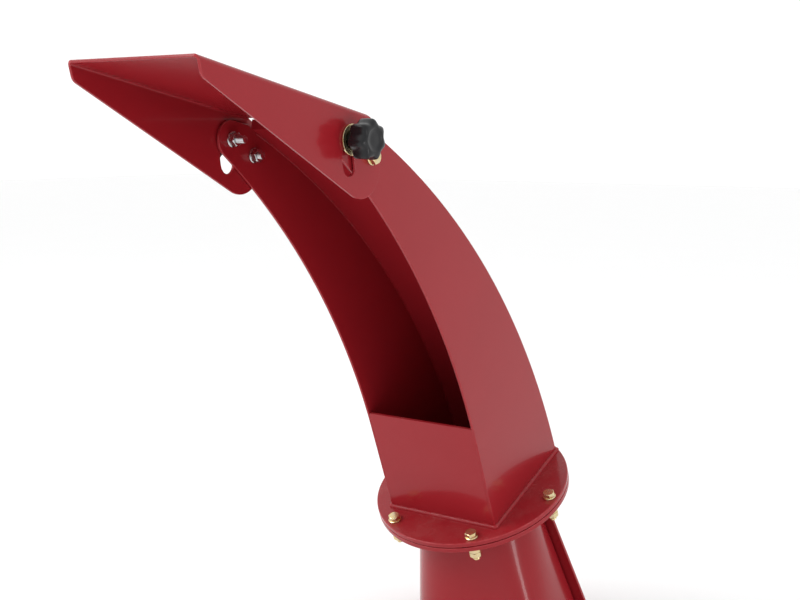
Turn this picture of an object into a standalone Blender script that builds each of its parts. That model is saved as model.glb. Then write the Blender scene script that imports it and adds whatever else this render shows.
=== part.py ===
"""Discharge chute of a wood chipper: neck, clamped swivel flange, curved chute and tilting deflector.

Metres, +Z up. The origin is on the underside of the neck's base plate, straight below the swivel flange.
The chute throws towards -Y. +X is the right-hand side of the chute.
"""

import math

import bmesh
import bpy
from mathutils import Vector

# ---- driving sizes -------------------------------------------------------------------------------

GAP = 0.0003                      # between pieces that touch

NECK_HEIGHT = 0.200               # base plate's underside to the top of the swivel flange
SWIVEL_LEAN = math.radians(22)    # lean of the swivel axis towards the discharge side
NECK_RADIUS = 0.074
NECK_WALL = 0.003
COLLAR_LENGTH = 0.034             # round collar below the flange's top plane
LIP_INSET = 0.0101                # collar's turned-out lip inside the bolt circle
LIP_THICKNESS = 0.003
NECK_FLARE = 0.044                # how far the right side of the neck flares out
NECK_BACKSET = 0.018              # neck foot behind the origin
FLAT_LEAD = math.radians(20)      # the right side's flat starts this far ahead of the centre at the head,
FLAT_SHARE = 0.2                  # and by this share of the radius at the foot
BASE_THICKNESS = 0.008
BASE_MARGIN = 0.026
BASE_CORNER = 0.012
BASE_HOLE_RADIUS = 0.0055
GUSSET_WIDTH = 0.013              # beyond the neck's square rear corner
GUSSET_INSIDE = 0.012             # behind the neck's rear wall
GUSSET_THICKNESS = 0.004
GUSSET_SHARE = 0.93               # share of the corner's length

SHEET = 0.003                     # sheet of the chute and of the deflector
CHUTE_WIDTH = 0.150
CHUTE_DEPTH = 0.165
CHUTE_SETBACK = 0.010             # chute's centre behind the swivel axis
FRONT_STRAIGHT = 0.115            # straight foot of the side walls' front edge
BACK_RADIUS = 0.852
BACK_CENTRE_DROP = 0.047          # centre of the back's arc below the flange
PANEL_HEIGHT = 0.139              # front panel
BACK_LIP_SETBACK = 0.007          # back wall's turned-up lip short of the side walls' end
BACK_LIP_GAP = 0.0007             # lip below the underside of the deflector's top
END_RADIUS = 0.0194               # round end of a side wall, about the lock stud

FLANGE_THICKNESS = 0.006
FLANGE_MARGIN = 0.003             # flange beyond the chute's corners
FLANGE_BORE_RADIUS = 0.070
RIM_EDGE = 0.0008                 # broken edge of the flange and of the ring
RING_GAP = 0.001                  # seam between the flange and the clamp ring at the rim
RING_THICKNESS = 0.006
LIP_CLEARANCE = 0.0015            # around the lip and the collar
CLAMP_EDGE = 0.0115               # bolt circle inside the flange's rim
CLAMP_ANGLES = (-120, -60, 0, 90, 180)

PIVOT_ANGLE = math.radians(41.7)  # on the back's arc
PIVOT_INSET = 0.0252              # pivot inside the back of the chute
SLOT_RADIUS = 0.0365              # lock stud from the pivot
STUD_ANGLE = math.radians(131)
TILT_RANGE = math.radians(45)
SLOT_HALF_WIDTH = 0.009
SLOT_TIP = 0.0069                 # slot's end beyond the stud's centre at each end of the tilt

HOOD_SLOPE = math.radians(33)     # fall of the deflector's top from its lip to its tail
HOOD_GAP = 0.001                  # cheek to chute wall
HOOD_END_CLEARANCE = 0.007        # top of the deflector above the chute's end
HOOD_LENGTH = 0.246               # pivot to lip
HOOD_LIP_DEPTH = 0.0175           # front edge of a cheek
HOOD_LIP_RAKE = 0.008
HOOD_TAIL = 0.0115                # top plate's rear edge ahead of the pivot
CHEEK_DROP = 0.0462               # cheek's lower edge below the pivot
CHEEK_SLOPE = math.radians(16.5)
CHEEK_BACK = 0.0126               # cheek's rear edge behind the pivot
CHEEK_BACK_SLOPE = math.radians(23.6)
CHEEK_CORNER = 0.030
LIP_CORNER = 0.010                # lower front corner of a cheek
TAIL_CHAMFER = 0.0055

BOLT_RADIUS = 0.004               # M8
HEAD_ACROSS = 0.013
HEAD_HEIGHT = 0.0053
NUT_HEIGHT = 0.0065
HEX_CHAMFER = 0.001
HEX_CHAMFER_ACROSS = 0.0015
WASHER_RADIUS = 0.008
WASHER_THICKNESS = 0.0016
BOLT_TAIL = 0.005                 # thread beyond the nut
HINGE_CLEARANCE = 0.0005
LOCK_WASHER_RADIUS = 0.015
LOCK_WASHER_THICKNESS = 0.002
LOCK_TAIL = 0.010
KNOB_RADIUS = 0.020
KNOB_LOBES = 7
KNOB_LOBE_DEPTH = 0.0032
KNOB_HUB_RADIUS = 0.010
KNOB_HUB_HEIGHT = 0.007
KNOB_HEIGHT = 0.026
KNOB_SKIRT = 0.002                # rounded lower edge of the lobes
KNOB_CROWN = 0.005                # domed top
KNOB_CROWN_EDGE = 0.003
KNOB_CROWN_TOP = 0.007
KNOB_CROWN_STEP = 0.001

ROUND_SIDES = 72
BOLT_SIDES = 24
WALL_STEPS = 26
NECK_STEPS = 6
MARGIN = 0.01                     # cutters beyond what they cut

# ---- worked-out places (swivel frame: origin on the swivel axis in the flange's top plane) ---------

CHUTE_FRONT = CHUTE_SETBACK - CHUTE_DEPTH / 2
CHUTE_BACK = CHUTE_SETBACK + CHUTE_DEPTH / 2
BACK_CENTRE = Vector((CHUTE_BACK - BACK_RADIUS, -BACK_CENTRE_DROP))
FLANGE_RADIUS = math.hypot(CHUTE_WIDTH / 2, CHUTE_BACK) + FLANGE_MARGIN
CLAMP_CIRCLE = FLANGE_RADIUS - CLAMP_EDGE
LIP_RADIUS = CLAMP_CIRCLE - LIP_INSET
RING_BOTTOM = -FLANGE_THICKNESS - RING_GAP - RING_THICKNESS
LIP_TOP = -FLANGE_THICKNESS - GAP
LIP_BOTTOM = LIP_TOP - LIP_THICKNESS
NECK_CORNER = math.pi / 4         # place of the neck's square rear corner on its round head


def polar(centre, radius, angle):
    return Vector((centre[0] + radius * math.cos(angle), centre[1] + radius * math.sin(angle)))


PIVOT = polar(BACK_CENTRE, BACK_RADIUS - PIVOT_INSET, PIVOT_ANGLE)
STUD = polar(PIVOT, SLOT_RADIUS, STUD_ANGLE)
END_OFFSET = STUD - Vector((CHUTE_FRONT, FRONT_STRAIGHT))
# the side walls' front edge: an arc that leaves the straight foot and ends in the round end
FRONT_RADIUS = (END_OFFSET.length_squared - END_RADIUS ** 2) / (2 * (END_RADIUS - END_OFFSET.x))
FRONT_CENTRE = Vector((CHUTE_FRONT - FRONT_RADIUS, FRONT_STRAIGHT))

HOOD_ALONG = Vector((-math.cos(HOOD_SLOPE), math.sin(HOOD_SLOPE)))
HOOD_UP = Vector((math.sin(HOOD_SLOPE), math.cos(HOOD_SLOPE)))
CHUTE_END = (STUD - PIVOT).dot(HOOD_UP) + END_RADIUS           # the end's height above the pivot
HOOD_INNER_TOP = CHUTE_END + HOOD_END_CLEARANCE
HOOD_TOP = HOOD_INNER_TOP + SHEET
CHEEK_INSIDE = CHUTE_WIDTH / 2 + HOOD_GAP
CHEEK_OUTSIDE = CHEEK_INSIDE + SHEET


# ---- helpers ---------------------------------------------------------------------------------------

def clear_scene():
    for obj in list(bpy.data.objects):
        bpy.data.objects.remove(obj, do_unlink=True)


def material(name, colour, roughness, metallic):
    mat = bpy.data.materials.new(name)
    mat.use_nodes = True
    shader = mat.node_tree.nodes["Principled BSDF"]
    shader.inputs["Base Color"].default_value = (*colour, 1)
    shader.inputs["Roughness"].default_value = roughness
    shader.inputs["Metallic"].default_value = metallic
    return mat


def empty(name, location, turn, parent=None):
    obj = bpy.data.objects.new(name, None)
    obj.location = location
    obj.rotation_euler = (turn, 0, 0)
    obj.parent = parent
    bpy.context.collection.objects.link(obj)
    return obj


def add(name, bm, mat, parent=None, smooth=None):
    """Turns a bmesh into a named object with outward faces."""
    bmesh.ops.recalc_face_normals(bm, faces=bm.faces)
    mesh = bpy.data.meshes.new(name)
    bm.to_mesh(mesh)
    bm.free()
    if mat:
        mesh.materials.append(mat)
    if smooth:
        mesh.shade_smooth()
        mesh.set_sharp_from_angle(angle=math.radians(smooth))
    obj = bpy.data.objects.new(name, mesh)
    obj.parent = parent
    bpy.context.collection.objects.link(obj)
    return obj


def loft(loops, ring=False):
    """Joins equal loops in turn. Its ends are capped, or the last loop joins the first when it is a ring."""
    bm = bmesh.new()
    rows = [[bm.verts.new(p) for p in loop] for loop in loops]
    pairs = list(zip(rows, rows[1:]))
    if ring:
        pairs.append((rows[-1], rows[0]))
    else:
        bm.faces.new(rows[0])
        bm.faces.new(rows[-1])
    count = len(rows[0])
    for low, high in pairs:
        for i in range(count):
            j = (i + 1) % count
            bm.faces.new((low[i], low[j], high[j]))
            bm.faces.new((low[i], high[j], high[i]))
    return bm


def circle(radius, z, sides, start=0):
    return [(radius * math.cos(a + start), radius * math.sin(a + start), z) for a in turn(sides)]


def hexagon(across, z, sides):
    """A hexagon with the same count of points as the circles that it joins."""
    step = math.pi / 3
    loop = []
    for a in turn(sides):
        radius = across / 2 / math.cos((a % step) - step / 2)
        loop.append((radius * math.cos(a), radius * math.sin(a), z))
    return loop


def turn(sides):
    return [math.tau * i / sides for i in range(sides)]


def prism(outline, x0, x1):
    """A plate in the chute's side plane: outline points are (y, z)."""
    return loft([[(x, y, z) for y, z in outline] for x in (x0, x1)])


def arc(centre, radius, start, end, steps):
    return [polar(centre, radius, start + (end - start) * i / steps) for i in range(steps + 1)]


def along_x(bm, x, y, z, outward=1):
    """Lays a piece that was made along +Z onto the X axis, pointing outward."""
    for v in bm.verts:
        px, py, pz = v.co
        v.co = (x + outward * pz, y + px, z + py)
    return bm


def shift(bm, x, y):
    bmesh.ops.translate(bm, verts=bm.verts, vec=(x, y, 0))
    return bm


def cut(obj, bm, name, parent=None):
    """Subtracts a closed shape, kept as a hidden wire cutter."""
    cutter = add(name, bm, None, parent)
    cutter.hide_render = True
    cutter.display_type = "WIRE"
    boolean = obj.modifiers.new(name, "BOOLEAN")
    boolean.operation = "DIFFERENCE"
    boolean.solver = "EXACT"
    boolean.object = cutter


def rod(radius, z0, z1):
    return loft([circle(radius, z, BOLT_SIDES) for z in (z0, z1)])


def drill(radius, z0, z1):
    """A round cutter, turned half a side so that its corners miss the radial edges that it cuts."""
    return loft([circle(radius, z, BOLT_SIDES, math.pi / BOLT_SIDES) for z in (z0, z1)])


# ---- neck ------------------------------------------------------------------------------------------

def neck_foot_loop(grow, z):
    """Foot of the neck: half round in front, square behind, flared with a flat side on the right."""
    left = NECK_RADIUS + grow
    right = NECK_RADIUS + NECK_FLARE + grow
    loop = []
    for a in turn(ROUND_SIDES):
        x, y = math.cos(a), math.sin(a)
        if y > 0:
            square = max(abs(x), abs(y))
            x, y = x / square, y / square
        elif x > 0:
            x, y = flat_front(math.tau - a if a > 0 else 0)
        reach = right if x > 0 else left
        loop.append((x * reach, NECK_BACKSET + y * left, z))
    return loop


def flat_front(ahead):
    """Front right quarter of the foot, for an angle ahead of the centre: a flat, then a round."""
    if ahead < FLAT_LEAD:
        return 1, -FLAT_SHARE * ahead / FLAT_LEAD
    around = (ahead - FLAT_LEAD) / (math.pi / 2 - FLAT_LEAD) * math.pi / 2
    return math.cos(around), -FLAT_SHARE - (1 - FLAT_SHARE) * math.sin(around)


def neck_head_loop(grow, drop):
    """Circle square to the swivel axis, in world places."""
    radius = NECK_RADIUS + grow
    loop = []
    for a in turn(ROUND_SIDES):
        y, z = radius * math.sin(a), -drop
        loop.append((radius * math.cos(a), *swivel_to_world(y, z)))
    return loop


def swivel_to_world(y, z):
    lean_cos, lean_sin = math.cos(SWIVEL_LEAN), math.sin(SWIVEL_LEAN)
    return y * lean_cos - z * lean_sin, NECK_HEIGHT + y * lean_sin + z * lean_cos


def neck_loops(grow):
    """Straight rulings from the foot to the round head, in even steps."""
    foot = [Vector(p) for p in neck_foot_loop(grow, BASE_THICKNESS + GAP)]
    head = [Vector(p) for p in neck_head_loop(grow, COLLAR_LENGTH + GAP)]
    shares = [i / NECK_STEPS for i in range(NECK_STEPS + 1)]
    return [[low.lerp(high, share) for low, high in zip(foot, head)] for share in shares]


def neck_transition(mat):
    outer, inner = neck_loops(0), neck_loops(-NECK_WALL)
    add("neck_transition", loft(outer + inner[::-1], ring=True), mat, smooth=30)


def neck_collar(mat, swivel):
    outer, inner = NECK_RADIUS, NECK_RADIUS - NECK_WALL
    lip = LIP_RADIUS
    profile = [(inner, -COLLAR_LENGTH), (outer, -COLLAR_LENGTH), (outer, LIP_BOTTOM),
               (lip, LIP_BOTTOM), (lip, LIP_TOP), (inner, LIP_TOP)]
    add("neck_collar", loft([circle(r, z, ROUND_SIDES) for r, z in profile], ring=True), mat, swivel, 30)


def rounded_rectangle(x0, x1, y0, y1, radius, z):
    loop = []
    corners = ((x1, y1, 0), (x0, y1, 90), (x0, y0, 180), (x1, y0, 270))
    for x, y, start in corners:
        centre = (x - math.copysign(radius, x), y - math.copysign(radius, y))
        for p in arc(centre, radius, math.radians(start), math.radians(start + 90), 5):
            loop.append((p.x, p.y, z))
    return loop


def neck_base(mat):
    x0 = -NECK_RADIUS - BASE_MARGIN
    x1 = NECK_RADIUS + NECK_FLARE + BASE_MARGIN
    y0 = NECK_BACKSET - NECK_RADIUS - BASE_MARGIN
    y1 = NECK_BACKSET + NECK_RADIUS + BASE_MARGIN
    plate = add("neck_base_plate", loft([
        rounded_rectangle(x0, x1, y0, y1, BASE_CORNER, z) for z in (0, BASE_THICKNESS)]), mat)
    mouth = loft([neck_foot_loop(-NECK_WALL, z) for z in (-MARGIN, BASE_THICKNESS + MARGIN)])
    cut(plate, mouth, "cut_neck_mouth")
    inset = BASE_CORNER + GAP
    for i, (x, y) in enumerate(((x0, y0), (x1, y0), (x1, y1), (x0, y1))):
        hole = shift(drill(BASE_HOLE_RADIUS, -MARGIN, BASE_THICKNESS + MARGIN),
                     x - math.copysign(inset, x), y - math.copysign(inset, y))
        cut(plate, hole, f"cut_base_hole_{i}")


def neck_gusset(side, name, mat):
    """Rib behind the square rear corner of the neck, standing out beyond it."""
    foot_x = NECK_RADIUS + (NECK_FLARE if side > 0 else 0)
    foot = Vector((side * foot_x, NECK_BACKSET + NECK_RADIUS, BASE_THICKNESS + GAP))
    head_y, head_z = swivel_to_world(NECK_RADIUS * math.sin(NECK_CORNER), -COLLAR_LENGTH - GAP)
    head = Vector((side * NECK_RADIUS * math.cos(NECK_CORNER), head_y, head_z))
    loops = []
    for place in (foot, foot.lerp(head, GUSSET_SHARE)):
        inner, outer = place.x - side * GUSSET_INSIDE, place.x + side * GUSSET_WIDTH
        front, rear = place.y + GAP, place.y + GAP + GUSSET_THICKNESS
        loops.append([(inner, front, place.z), (outer, front, place.z), (outer, rear, place.z),
                      (inner, rear, place.z)])
    rib = add(name, loft(loops), mat)
    cut(rib, loft([neck_foot_loop(GAP, 0), *neck_loops(GAP), neck_head_loop(GAP, 0)]), f"cut_{name}")


# ---- swivel joint ----------------------------------------------------------------------------------

def clamp_places():
    for angle in CLAMP_ANGLES:
        place = polar((0, 0), CLAMP_CIRCLE, math.radians(angle))
        yield angle % 360, place.x, place.y


def drill_clamp_holes(obj, swivel):
    for angle, x, y in clamp_places():
        hole = shift(drill(BOLT_RADIUS + GAP, RING_BOTTOM - MARGIN, MARGIN), x, y)
        cut(obj, hole, f"cut_{obj.name}_{angle}", swivel)


def chute_flange(mat, swivel):
    bore, rim, low, edge = FLANGE_BORE_RADIUS, FLANGE_RADIUS, -FLANGE_THICKNESS, RIM_EDGE
    profile = [(bore, low), (rim - edge, low), (rim, low + edge), (rim, -edge), (rim - edge, 0), (bore, 0)]
    flange = add("chute_flange", loft([circle(r, z, ROUND_SIDES) for r, z in profile], ring=True),
                 mat, swivel, 50)
    drill_clamp_holes(flange, swivel)


def clamp_ring(mat, swivel):
    bore = NECK_RADIUS + LIP_CLEARANCE
    seat = LIP_RADIUS + LIP_CLEARANCE
    top = -FLANGE_THICKNESS - RING_GAP
    step = LIP_BOTTOM - GAP
    rim, edge = FLANGE_RADIUS, RIM_EDGE
    profile = [(bore, RING_BOTTOM), (rim - edge, RING_BOTTOM), (rim, RING_BOTTOM + edge), (rim, top - edge),
               (rim - edge, top), (seat, top), (seat, step), (bore, step)]
    ring = add("clamp_ring", loft([circle(r, z, ROUND_SIDES) for r, z in profile], ring=True),
               mat, swivel, 50)
    drill_clamp_holes(ring, swivel)


def hex_bolt(length):
    """Head and pressed washer on the +Z side of the clamped face at z = 0, shank below."""
    washer, head = WASHER_THICKNESS, WASHER_THICKNESS + HEAD_HEIGHT
    return loft([circle(BOLT_RADIUS, -length, BOLT_SIDES), circle(BOLT_RADIUS, GAP, BOLT_SIDES),
                 circle(WASHER_RADIUS, GAP, BOLT_SIDES), circle(WASHER_RADIUS, washer, BOLT_SIDES),
                 hexagon(HEAD_ACROSS, washer, BOLT_SIDES),
                 hexagon(HEAD_ACROSS, head - HEX_CHAMFER, BOLT_SIDES),
                 hexagon(HEAD_ACROSS - HEX_CHAMFER_ACROSS, head, BOLT_SIDES)])


def hex_nut(top):
    """Nut with a pressed washer, hanging from the face at z = top."""
    face, washer = top - GAP, top - WASHER_THICKNESS
    return nut_body([circle(WASHER_RADIUS, face, BOLT_SIDES), circle(WASHER_RADIUS, washer, BOLT_SIDES)],
                    face, washer, washer - NUT_HEIGHT)


def jam_nut(top):
    """Plain nut below another nut's end at z = top."""
    return nut_body([], top - GAP, top - GAP, top - GAP - NUT_HEIGHT)


def nut_body(washer_loops, face, high, low):
    bore = BOLT_RADIUS + GAP
    return loft([circle(bore, face, BOLT_SIDES), *washer_loops, hexagon(HEAD_ACROSS, high, BOLT_SIDES),
                 hexagon(HEAD_ACROSS, low + HEX_CHAMFER, BOLT_SIDES),
                 hexagon(HEAD_ACROSS - HEX_CHAMFER_ACROSS, low, BOLT_SIDES),
                 circle(bore, low, BOLT_SIDES)], ring=True)


def clamp_hardware(mat, swivel):
    """Bolts through the flange and the ring, each with a nut and a jam nut."""
    nut_end = RING_BOTTOM - WASHER_THICKNESS - NUT_HEIGHT
    reach = NUT_HEIGHT + BOLT_TAIL - nut_end
    for angle, x, y in clamp_places():
        add(f"clamp_bolt_{angle}", shift(hex_bolt(reach), x, y), mat, swivel, 30)
        add(f"clamp_nut_{angle}", shift(hex_nut(RING_BOTTOM), x, y), mat, swivel, 30)
        add(f"clamp_jam_nut_{angle}", shift(jam_nut(nut_end), x, y), mat, swivel, 30)


# ---- chute -----------------------------------------------------------------------------------------

def back_arc_angle(height):
    """Angle on the back's outer arc at a height above the flange."""
    return math.asin((height - BACK_CENTRE.y) / BACK_RADIUS)


def back_end_angle():
    """Where the chute's end, parallel to the deflector's top, meets the back's arc."""
    offset = PIVOT + HOOD_UP * CHUTE_END - BACK_CENTRE
    reach = offset.dot(HOOD_ALONG)
    root = math.sqrt(BACK_RADIUS ** 2 - offset.dot(HOOD_UP) ** 2)
    point = offset - HOOD_ALONG * (reach + root)
    return math.atan2(point.y, point.x)


def side_wall_outline():
    front_end = (STUD - FRONT_CENTRE).normalized()
    front_angle = math.atan2(front_end.y, front_end.x)
    outline = [Vector((CHUTE_FRONT, GAP))]
    outline += arc(FRONT_CENTRE, FRONT_RADIUS, 0, front_angle, WALL_STEPS)
    up_angle = math.atan2(HOOD_UP.y, HOOD_UP.x)
    outline += arc(STUD, END_RADIUS, front_angle + math.pi, up_angle, 14)[1:]
    outline += arc(BACK_CENTRE, BACK_RADIUS, back_end_angle(), back_arc_angle(GAP), WALL_STEPS)
    return outline


def side_wall(side, name, mat, swivel):
    outer = side * CHUTE_WIDTH / 2
    wall = add(name, prism(side_wall_outline(), outer - side * SHEET, outer), mat, swivel, 30)
    for label, place in (("pivot", PIVOT), ("stud", STUD)):
        hole = along_x(drill(BOLT_RADIUS + GAP, -MARGIN, MARGIN), outer, place.x, place.y)
        cut(wall, hole, f"cut_{name}_{label}", swivel)


def back_wall(mat, swivel):
    half = CHUTE_WIDTH / 2 - SHEET - GAP
    start, end = back_arc_angle(GAP), back_end_angle() - BACK_LIP_SETBACK / BACK_RADIUS
    outline = arc(BACK_CENTRE, BACK_RADIUS, start, end, WALL_STEPS)
    inner = arc(BACK_CENTRE, BACK_RADIUS - SHEET, end, start, WALL_STEPS)
    inner[-1] = Vector((inner[-1].x, GAP))
    lip_foot = (outline[-1] - PIVOT).dot(HOOD_UP)
    lip_top = outline[-1] + HOOD_UP * (HOOD_INNER_TOP - BACK_LIP_GAP - lip_foot)
    lip_inner = lip_top + HOOD_ALONG * SHEET
    inner[0] = meet(lip_inner, HOOD_UP, inner[1], inner[0] - inner[1])
    add("chute_back_wall", prism([*outline, lip_top, lip_inner, *inner], -half, half), mat, swivel, 30)


def front_panel(mat, swivel):
    half = CHUTE_WIDTH / 2 - SHEET - GAP
    outline = [(CHUTE_FRONT, GAP), (CHUTE_FRONT, PANEL_HEIGHT),
               (CHUTE_FRONT + SHEET, PANEL_HEIGHT), (CHUTE_FRONT + SHEET, GAP)]
    add("chute_front_panel", prism(outline, -half, half), mat, swivel)


# ---- deflector (tilt frame: origin on the pivot, -Y towards the lip, +Z square to the top) -------------

def fillet(before, corner, after, radius, steps):
    """Rounds a corner of an outline."""
    into, out = (corner - before).normalized(), (after - corner).normalized()
    bend = math.acos(max(-1, min(1, into.dot(out))))
    reach = radius * math.tan(bend / 2)
    left = into.x * out.y - into.y * out.x > 0
    normal = Vector((-into.y, into.x)) if left else Vector((into.y, -into.x))
    centre = corner - into * reach + normal * radius
    start = math.atan2(-normal.y, -normal.x)
    return arc(centre, radius, start, start + (bend if left else -bend), steps)


def meet(point, direction, other, other_direction):
    """Where two lines cross."""
    across = direction.x * other_direction.y - direction.y * other_direction.x
    gap = other - point
    return point + direction * ((gap.x * other_direction.y - gap.y * other_direction.x) / across)


def cheek_outline():
    lip_top = Vector((-HOOD_LENGTH, HOOD_TOP))
    lip_low = Vector((-HOOD_LENGTH + HOOD_LIP_RAKE, HOOD_TOP - HOOD_LIP_DEPTH))
    low_direction = Vector((math.cos(CHEEK_SLOPE), -math.sin(CHEEK_SLOPE)))
    back_direction = Vector((-math.sin(CHEEK_BACK_SLOPE), math.cos(CHEEK_BACK_SLOPE)))
    low_point = Vector((-low_direction.y, low_direction.x)) * -CHEEK_DROP
    back_point = Vector((back_direction.y, -back_direction.x)) * CHEEK_BACK
    low_back = meet(low_point, low_direction, back_point, back_direction)
    lip_low = meet(low_point, low_direction, lip_low, lip_top - lip_low)
    tail_top = Vector((-HOOD_TAIL, HOOD_TOP))
    tail_low = meet(back_point, back_direction, Vector((0, HOOD_TOP - TAIL_CHAMFER)), Vector((1, 0)))
    front = fillet(lip_top, lip_low, low_back, LIP_CORNER, 6)
    rear = fillet(lip_low, low_back, tail_low, CHEEK_CORNER, 12)
    return [lip_top, *front, *rear, tail_low, tail_top]


def slot_outline():
    """Arc slot about the pivot, seen from the right side, for the stud's travel over the tilt."""
    stud = STUD - PIVOT
    spare = (SLOT_TIP - SLOT_HALF_WIDTH) / SLOT_RADIUS
    start = math.atan2(stud.dot(HOOD_UP), -stud.dot(HOOD_ALONG)) - spare
    end = start + TILT_RANGE + 2 * spare
    half = SLOT_HALF_WIDTH
    far_end = arc(polar((0, 0), SLOT_RADIUS, end), half, end, end + math.pi, 8)
    near_end = arc(polar((0, 0), SLOT_RADIUS, start), half, start + math.pi, start + math.tau, 8)
    outer = arc((0, 0), SLOT_RADIUS + half, start, end, 14)
    inner = arc((0, 0), SLOT_RADIUS - half, end, start, 14)
    return outer + far_end[1:-1] + inner + near_end[1:-1]


def deflector(mat, tilt):
    hood = add("deflector_hood", prism(cheek_outline(), -CHEEK_OUTSIDE, CHEEK_OUTSIDE), mat, tilt, 30)
    low, high = -2 * CHEEK_DROP, HOOD_TOP + MARGIN
    front, rear = -HOOD_LENGTH - MARGIN, CHEEK_DROP
    inside = [(front, HOOD_INNER_TOP), (-HOOD_TAIL, HOOD_INNER_TOP), (-HOOD_TAIL, high),
              (rear, high), (rear, low), (front, low)]
    cut(hood, prism(inside, -CHEEK_INSIDE, CHEEK_INSIDE), "cut_deflector_inside", tilt)
    reach = CHEEK_OUTSIDE + MARGIN
    cut(hood, prism(slot_outline(), -reach, reach), "cut_deflector_slots", tilt)
    hinge = drill(BOLT_RADIUS + HINGE_CLEARANCE, -reach, reach)
    cut(hood, along_x(hinge, 0, 0, 0), "cut_deflector_hinge", tilt)


def pivot_hardware(side, label, mat, swivel):
    outer = side * CHEEK_OUTSIDE
    inner = side * (CHUTE_WIDTH / 2 - SHEET)
    reach = CHEEK_OUTSIDE - abs(inner) + WASHER_THICKNESS + NUT_HEIGHT + BOLT_TAIL
    add(f"pivot_bolt_{label}", along_x(hex_bolt(reach), outer, *PIVOT, side), mat, swivel, 30)
    add(f"pivot_nut_{label}", along_x(hex_nut(0), inner, *PIVOT, side), mat, swivel, 30)


def lock_hardware(side, label, steel, plastic, swivel):
    outer = side * CHEEK_OUTSIDE
    inner = side * (CHUTE_WIDTH / 2 - SHEET)
    knob_seat = GAP + LOCK_WASHER_THICKNESS
    stud_low = abs(inner) - CHEEK_OUTSIDE - NUT_HEIGHT - WASHER_THICKNESS - LOCK_TAIL
    bore = BOLT_RADIUS + GAP
    profile = [(bore, GAP), (LOCK_WASHER_RADIUS, GAP), (LOCK_WASHER_RADIUS, knob_seat), (bore, knob_seat)]
    washer = loft([circle(r, z, BOLT_SIDES) for r, z in profile], ring=True)
    add(f"lock_stud_{label}", along_x(rod(BOLT_RADIUS, stud_low, knob_seat), outer, *STUD, side), steel,
        swivel, 30)
    add(f"lock_nut_{label}", along_x(hex_nut(0), inner, *STUD, side), steel, swivel, 30)
    add(f"lock_washer_{label}", along_x(washer, outer, *STUD, side), steel, swivel, 30)
    add(f"lock_knob_{label}", along_x(star_knob(knob_seat + GAP), outer, *STUD, side), plastic, swivel, 30)


def star_knob(base):
    sides = KNOB_LOBES * 8

    def star(radius, depth, z):
        loop = []
        for a in turn(sides):
            r = radius - depth * (1 - math.cos(KNOB_LOBES * a)) / 2
            loop.append((r * math.cos(a), r * math.sin(a), z))
        return loop

    shoulder, top, depth = base + KNOB_HUB_HEIGHT, base + KNOB_HEIGHT, KNOB_LOBE_DEPTH
    return loft([circle(KNOB_HUB_RADIUS, base, sides), circle(KNOB_HUB_RADIUS, shoulder, sides),
                 star(KNOB_RADIUS - KNOB_SKIRT, depth, shoulder),
                 star(KNOB_RADIUS, depth, shoulder + KNOB_SKIRT), star(KNOB_RADIUS, depth, top - KNOB_CROWN),
                 star(KNOB_RADIUS - KNOB_CROWN_EDGE, depth, top - KNOB_CROWN_STEP),
                 star(KNOB_RADIUS - KNOB_CROWN_TOP, depth / 3, top)])


def build():
    clear_scene()
    red = material("red_powder_coat", (0.30, 0.012, 0.016), 0.32, 0.0)
    zinc = material("yellow_zinc", (0.66, 0.55, 0.30), 0.32, 1.0)
    black = material("black_knob_plastic", (0.018, 0.018, 0.02), 0.42, 0.0)
    swivel = empty("swivel_axis", (0, 0, NECK_HEIGHT), SWIVEL_LEAN)
    tilt = empty("tilt_axis", (0, PIVOT.x, PIVOT.y), -HOOD_SLOPE, swivel)
    neck_base(red)
    neck_transition(red)
    neck_collar(red, swivel)
    neck_gusset(1, "neck_gusset_right", red)
    neck_gusset(-1, "neck_gusset_left", red)
    chute_flange(red, swivel)
    clamp_ring(red, swivel)
    clamp_hardware(zinc, swivel)
    side_wall(1, "chute_side_right", red, swivel)
    side_wall(-1, "chute_side_left", red, swivel)
    back_wall(red, swivel)
    front_panel(red, swivel)
    deflector(red, tilt)
    for side, label in ((1, "right"), (-1, "left")):
        pivot_hardware(side, label, zinc, swivel)
        lock_hardware(side, label, zinc, black, swivel)


build()
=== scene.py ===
"""Looks of a wood chipper's swivelling discharge chute: sheet, welds, fasteners, star knobs and studio."""

import math

import bmesh
import bpy
from mathutils import Matrix, Vector


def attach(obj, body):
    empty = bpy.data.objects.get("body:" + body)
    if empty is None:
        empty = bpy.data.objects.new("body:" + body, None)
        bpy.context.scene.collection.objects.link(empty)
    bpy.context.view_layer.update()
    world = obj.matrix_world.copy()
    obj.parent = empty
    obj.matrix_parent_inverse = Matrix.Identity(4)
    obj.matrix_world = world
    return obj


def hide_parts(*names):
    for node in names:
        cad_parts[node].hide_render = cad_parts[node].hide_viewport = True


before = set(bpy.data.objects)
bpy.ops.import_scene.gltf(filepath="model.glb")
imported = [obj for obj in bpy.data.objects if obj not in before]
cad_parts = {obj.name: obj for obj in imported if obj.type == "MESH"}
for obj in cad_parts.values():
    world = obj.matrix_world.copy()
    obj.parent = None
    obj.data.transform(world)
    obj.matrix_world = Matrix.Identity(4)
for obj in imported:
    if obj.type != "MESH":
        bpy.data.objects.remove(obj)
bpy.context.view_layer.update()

# ---- sizes, metres ----

NECK_HEIGHT = 0.200
SWIVEL_LEAN = math.radians(22)
NECK_RADIUS = 0.074
NECK_WALL = 0.003
COLLAR_LENGTH = 0.034
LIP_INSET = 0.0101
LIP_THICKNESS = 0.003
NECK_FLARE = 0.044
NECK_BACKSET = 0.018
FLAT_LEAD = math.radians(20)
FLAT_SHARE = 0.2
BASE_THICKNESS = 0.008
BASE_MARGIN = 0.026
BASE_CORNER = 0.012
BASE_HOLE_RADIUS = 0.0055
NECK_CORNER_POWER = 40            # how square the rear corners of the neck's foot are
NECK_SIDES = 288
NECK_STEPS = 16
GAP = 0.0003

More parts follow.
